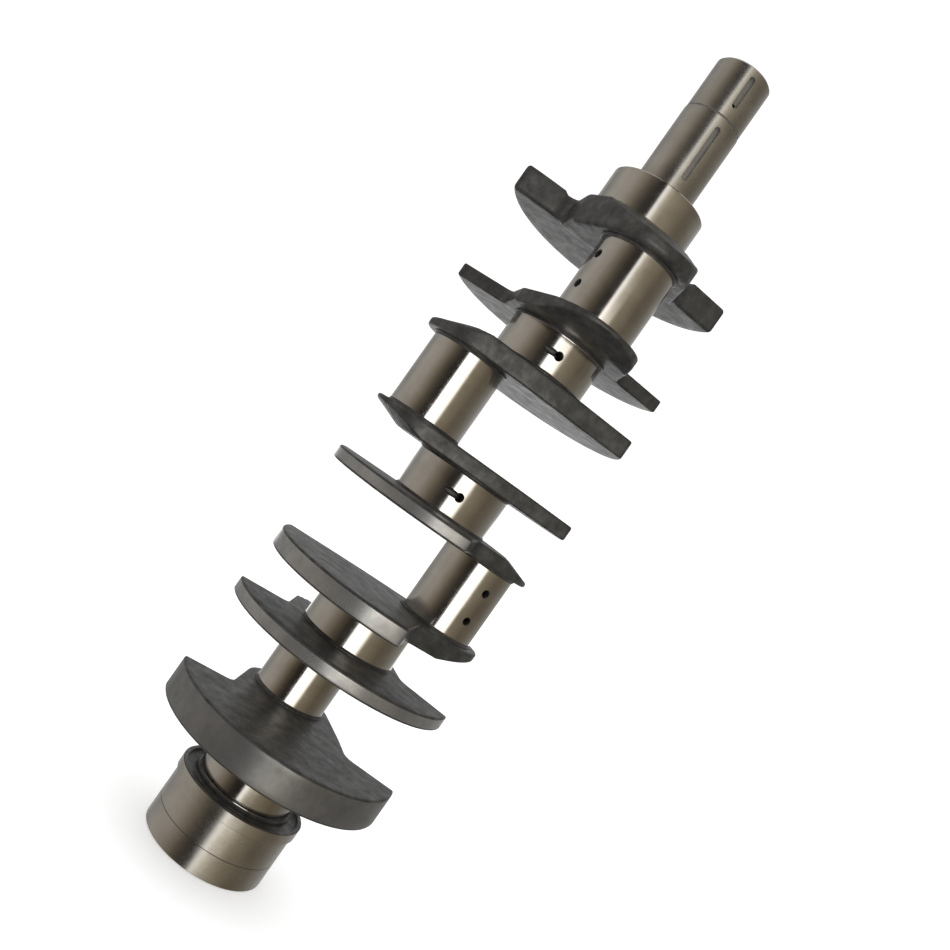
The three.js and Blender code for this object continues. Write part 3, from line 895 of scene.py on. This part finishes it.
def rear_flange():
    """The flange with its seal land, bolt holes and pilot bore."""
    lowest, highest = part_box("rear_flange")
    low, high = lowest.z, highest.z
    lip = (highest.x - lowest.x) / 2
    main_low, main_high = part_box("main_journal_5")
    neck = (main_high.x - main_low.x) / 2
    worn = low + WEAR_LINE
    profile = flange_profile(low, high, lip, neck, worn)
    piece = new_piece("rear_flange_ground", turned(profile), [FLANGE_STEEL, FORGED_SKIN_AND_SHADE])
    undercut = high - UNDERCUT_DEPTH - UNDERCUT_MARGIN

    # Upward faces and the wear line take the dark forged skin. In the undercut ring, and in the bores
    # the cutters leave, it is painted shade in a recess.
    def is_dark(centre, normal):
        in_undercut = centre.z > undercut and centre.xy.length < lip - UNDERCUT_WALL
        return normal.z > FACING_UP or abs(centre.z - worn) < WEAR_WIDTH / 2 or in_undercut

    darken(piece, is_dark)
    cutters = [pilot_cutter(low)]
    for bolt in range(FLYWHEEL_BOLTS):
        mouth = radial(360 * bolt / FLYWHEEL_BOLTS) * BOLT_CIRCLE + Vector((0, 0, low))
        cutters.append(drill("bolt", mouth, Vector((0, 0, 1)), BOLT_RADIUS, BOLT_DEPTH, BOLT_CHAMFER))
    cut(piece, cutters)
    set_normals(piece, AXIS, [lip - LIP_STEP, lip, neck])
    finish_piece(piece, "ground_journal", "rear_flange")


def pilot_bush():
    """The bush in the pilot bore."""
    lowest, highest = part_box("pilot_bush")
    outer = (highest.x - lowest.x) / 2
    inner = BUSH_BORE_RADIUS
    low, high, edge = lowest.z, highest.z, EDGE_BREAK
    ring = [(inner + edge, low), (outer - edge, low), (outer, low + edge)]
    ring += [(outer, high - edge), (outer - edge, high), (inner + edge, high)]
    ring += [(inner, high - edge), (inner, low + edge)]
    bm = turned(ring + ring[:1], BORE_SEGMENTS)
    bmesh.ops.remove_doubles(bm, verts=bm.verts, dist=WELD_DISTANCE)
    piece = new_piece("pilot_bush_sintered", bm, [BRONZE])
    piece.data.set_sharp_from_angle(angle=math.radians(TURNED_SHARP_ANGLE))
    finish_piece(piece, "bush_bronze", "pilot_bush")


# ---- snout --------------------------------------------------------------------------------

def gear_seat():
    """The timing gear's seat with its long keyway."""
    lowest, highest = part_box("gear_seat")
    radius = (highest.x - lowest.x) / 2
    start = lowest.z
    relief = radius - SEAT_RELIEF_DEPTH
    relief_end = start + SEAT_RELIEF_LENGTH
    profile = [(0, start), (relief, start), (relief, relief_end)]
    profile += [(radius, relief_end + SEAT_RELIEF_DEPTH), (radius, highest.z - EDGE_BREAK)]
    profile += [(radius - EDGE_BREAK, highest.z), (0, highest.z)]
    piece = new_piece("gear_seat_ground", turned(profile), [SNOUT_STEEL, MILLED_AND_SHADE])
    first = start + GEAR_KEYWAY[0]
    cut(piece, [keyway_cutter(radius, first, first + GEAR_KEYWAY[1])])
    set_normals(piece, AXIS, [radius])
    finish_piece(piece, "ground_snout", "gear_seat")


def balancer_bolt_cutter(high):
    """The countersunk hole in the end of the snout."""
    floor_height = high - SNOUT_BOLT_DEPTH
    profile = [(0, floor_height), (SNOUT_BOLT_RADIUS, floor_height)]
    profile += [(SNOUT_BOLT_RADIUS, high - COUNTERSINK_DEPTH), (COUNTERSINK_RADIUS, high)]
    profile += [(COUNTERSINK_RADIUS, high + CLEARANCE), (0, high + CLEARANCE)]
    return cutter("bore", turned(profile, BORE_SEGMENTS))


def snout_nose():
    """The nose with its short keyway and the balancer bolt hole."""
    lowest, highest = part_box("snout_nose")
    radius = (highest.x - lowest.x) / 2
    low, high = lowest.z, highest.z
    neck = radius - NECK_DEPTH
    neck_end = low + NECK_WIDTH + NECK_DEPTH
    profile = [(0, low), (neck, low), (neck, low + NECK_WIDTH), (radius, neck_end)]
    profile += [(radius, high - NOSE_CHAMFER), (radius - NOSE_CHAMFER, high), (0, high)]
    piece = new_piece("snout_nose_ground", turned(profile), [SNOUT_STEEL, MILLED_AND_SHADE])
    # The neck groove takes the darker milled steel, as painted shade in the groove.
    darken(piece, lambda centre, normal: centre.z < neck_end)
    first = low + NOSE_KEYWAY[0]
    keyway = keyway_cutter(radius, first, first + NOSE_KEYWAY[1])
    inward = Vector((0, 1, 0))
    mouth = inward * -radius + Vector((0, 0, first + SPOT_RADIUS))
    spot = drill("spot", mouth, inward, SPOT_RADIUS, SPOT_DEPTH, SPOT_CHAMFER)
    cut(piece, [keyway, spot, balancer_bolt_cutter(high)])
    set_normals(piece, AXIS, [radius])
    finish_piece(piece, "ground_snout", "snout_nose")


# ---- studio -------------------------------------------------------------------------------

def camera():
    """A level view, rolled so that the shaft leans to the right."""
    azimuth = math.radians(VIEW_AZIMUTH)
    back = Vector((math.sin(azimuth), -math.cos(azimuth), 0))
    across = Vector((math.cos(azimuth), math.sin(azimuth), 0))
    up = Vector((0, 0, 1))
    lean = math.radians(SHAFT_LEAN)
    right = up * math.sin(lean) + across * math.cos(lean)
    above = up * math.cos(lean) - across * math.sin(lean)
    data = bpy.data.cameras.new("camera")
    data.lens = LENS
    data.sensor_width = SENSOR_WIDTH
    data.shift_x, data.shift_y = VIEW_SHIFT
    data.clip_end = VIEW_REACH
    viewer = bpy.data.objects.new("camera", data)
    turn = Matrix((right, above, back)).transposed().to_4x4()
    viewer.matrix_world = Matrix.Translation(back * VIEW_DISTANCE + up * VIEW_HEIGHT) @ turn
    bpy.context.scene.collection.objects.link(viewer)
    bpy.context.scene.camera = viewer


# What polished steel sees round the shaft, by angle from the camera's side in degrees: screens on
# both sides of a dark gap, a thin lamp on every level, and a broad lamp on the middle levels.
SCREENS = [
    (-180, (0.55, 0.55, 0.55)),
    (-150, (0.34, 0.335, 0.33)),
    (-135, (0.24, 0.235, 0.225)),
    (-104, (0.34, 0.32, 0.29)),
    (-70, (0.3, 0.27, 0.235)),
    (-52, (0.19, 0.162, 0.124)),
    (-36, (0.085, 0.068, 0.047)),
    (-20, (0.026, 0.021, 0.016)),
    (-2, (0.014, 0.012, 0.01)),
    (0.5, (1.1, 1.08, 1.04)),
    (5, (1.0, 0.97, 0.9)),
    (13, (0.46, 0.41, 0.32)),
    (24, (0.27, 0.235, 0.17)),
    (60, (0.16, 0.134, 0.093)),
    (78, (0.11, 0.09, 0.062)),
    (100, (0.13, 0.112, 0.085)),
    (130, (0.22, 0.21, 0.19)),
    (150, (0.34, 0.335, 0.33)),
    (180, (0.55, 0.55, 0.55)),
]
LAMP = [(-180, (0, 0, 0)), (-2, (0, 0, 0)), (1, (1, 1, 1)), (27, (1, 0.95, 0.87)), (35, (0, 0, 0)),
        (180, (0, 0, 0))]
LAMP_STRENGTH = 1.6
LAMP_LEVELS = [(-1, 0), (-0.33, 0), (-0.27, 1), (0.15, 1), (0.24, 0), (1, 0)]
# The bright backdrop behind the shaft lights the undersides of the middle webs at a low angle.
BACKDROP = [(-180, (1, 1, 1)), (-162, (1, 1, 1)), (-148, (0, 0, 0)), (148, (0, 0, 0)),
            (162, (1, 1, 1)), (180, (1, 1, 1))]
BACKDROP_STRENGTH = 1.8
BACKDROP_LEVELS = [(-1, 0), (-0.21, 0), (-0.14, 1), (-0.05, 1), (0, 0), (1, 0)]
ROOM_STRENGTH = 1.15


def by_angle(nodes, turn, stops):
    """Colours given by angle from the camera's side, in degrees."""
    return nodes.ramp(turn, [((degrees + 180) / 360, colour) for degrees, colour in stops])


def by_level(nodes, share, stops):
    """Greys given by height, from straight down at -1 to straight up at 1."""
    return nodes.ramp(share, [((height + 1) / 2, (value,) * 3) for height, value in stops])


def glow(nodes, turn, share, stops, levels, strength):
    """A light that glossy rays see between some angles and some levels."""
    fade = nodes.math("MULTIPLY", by_level(nodes, share, levels), strength)
    light = nodes.add("ShaderNodeBackground", Color=by_angle(nodes, turn, stops), Strength=fade)
    return light.outputs[0]


def together(nodes, first, second):
    """Both lights at once."""
    both = nodes.add("ShaderNodeAddShader")
    nodes.put(both, "#0", first)
    nodes.put(both, "#1", second)
    return both.outputs[0]


def angle_from_camera(nodes, direction):
    """A world direction's angle round the shaft, from 0 to 1, with the camera's side at 0.5."""
    azimuth = math.radians(VIEW_AZIMUTH)
    front = (math.sin(azimuth), -math.cos(azimuth), 0)
    side = (math.cos(azimuth), math.sin(azimuth), 0)
    parts = []
    for axis in (side, front):
        dot = nodes.add("ShaderNodeVectorMath", {"operation": "DOT_PRODUCT"})
        nodes.put(dot, "#0", direction)
        nodes.put(dot, "#1", axis)
        parts.append(dot.outputs["Value"])
    angle = nodes.math("ARCTAN2", parts[0], parts[1])
    return nodes.math("ADD", nodes.math("DIVIDE", angle, 2 * math.pi), 0.5)


def studio():
    """A white room. Steel sees dim screens, a strip light and a bright backdrop in it."""
    world = bpy.data.worlds.new("studio")
    world.use_nodes = True
    bpy.context.scene.world = world
    nodes = Nodes(world.node_tree)
    tree = world.node_tree
    tree.nodes.clear()
    direction = nodes.add("ShaderNodeTexCoord").outputs["Generated"]
    turn = angle_from_camera(nodes, direction)
    level = nodes.add("ShaderNodeSeparateXYZ", Vector=direction).outputs["Z"]
    share = nodes.spread(level, 0.0, 1.0, -1.0, 1.0)
    lamp = glow(nodes, turn, share, LAMP, LAMP_LEVELS, LAMP_STRENGTH)
    backdrop = glow(nodes, turn, share, BACKDROP, BACKDROP_LEVELS, BACKDROP_STRENGTH)
    screens = nodes.add("ShaderNodeBackground", Color=by_angle(nodes, turn, SCREENS), Strength=1.0)
    seen = together(nodes, screens.outputs[0], together(nodes, lamp, backdrop))
    white = nodes.add("ShaderNodeBackground", Strength=ROOM_STRENGTH)
    white.inputs["Color"].default_value = (1, 1, 1, 1)
    glossy = nodes.add("ShaderNodeLightPath").outputs["Is Glossy Ray"]
    mix = nodes.add("ShaderNodeMixShader", Fac=glossy)
    nodes.put(mix, "#1", white.outputs[0])
    nodes.put(mix, "#2", seen)
    output = nodes.add("ShaderNodeOutputWorld")
    tree.links.new(mix.outputs[0], output.inputs["Surface"])


def floor():
    """A plain white floor under the flange."""
    bm = bmesh.new()
    bmesh.ops.create_grid(bm, x_segments=1, y_segments=1, size=FLOOR_SIZE / 2)
    material, nodes, shader = new_material("floor_white")
    for name, value in FLOOR_LOOK.items():
        shader.inputs[name].default_value = value
    plane = new_piece("floor", bm, [material])
    plane.location.z = CAD_BOX[0].z - FLOOR_GAP
    plane.visible_glossy = False


# ---- the model ----------------------------------------------------------------------------

camera()
studio()
floor()
rear_flange()
pilot_bush()
for number in MAIN_HOLE_ANGLES:
    main_journal(number)
for number in PIN_DIRECTIONS:
    crankpin(number)
for number in WEBS:
    web(number)
gear_seat()
snout_nose()

bpy.context.scene.view_settings.view_transform = "Standard"
bpy.context.scene.view_settings.look = "None"
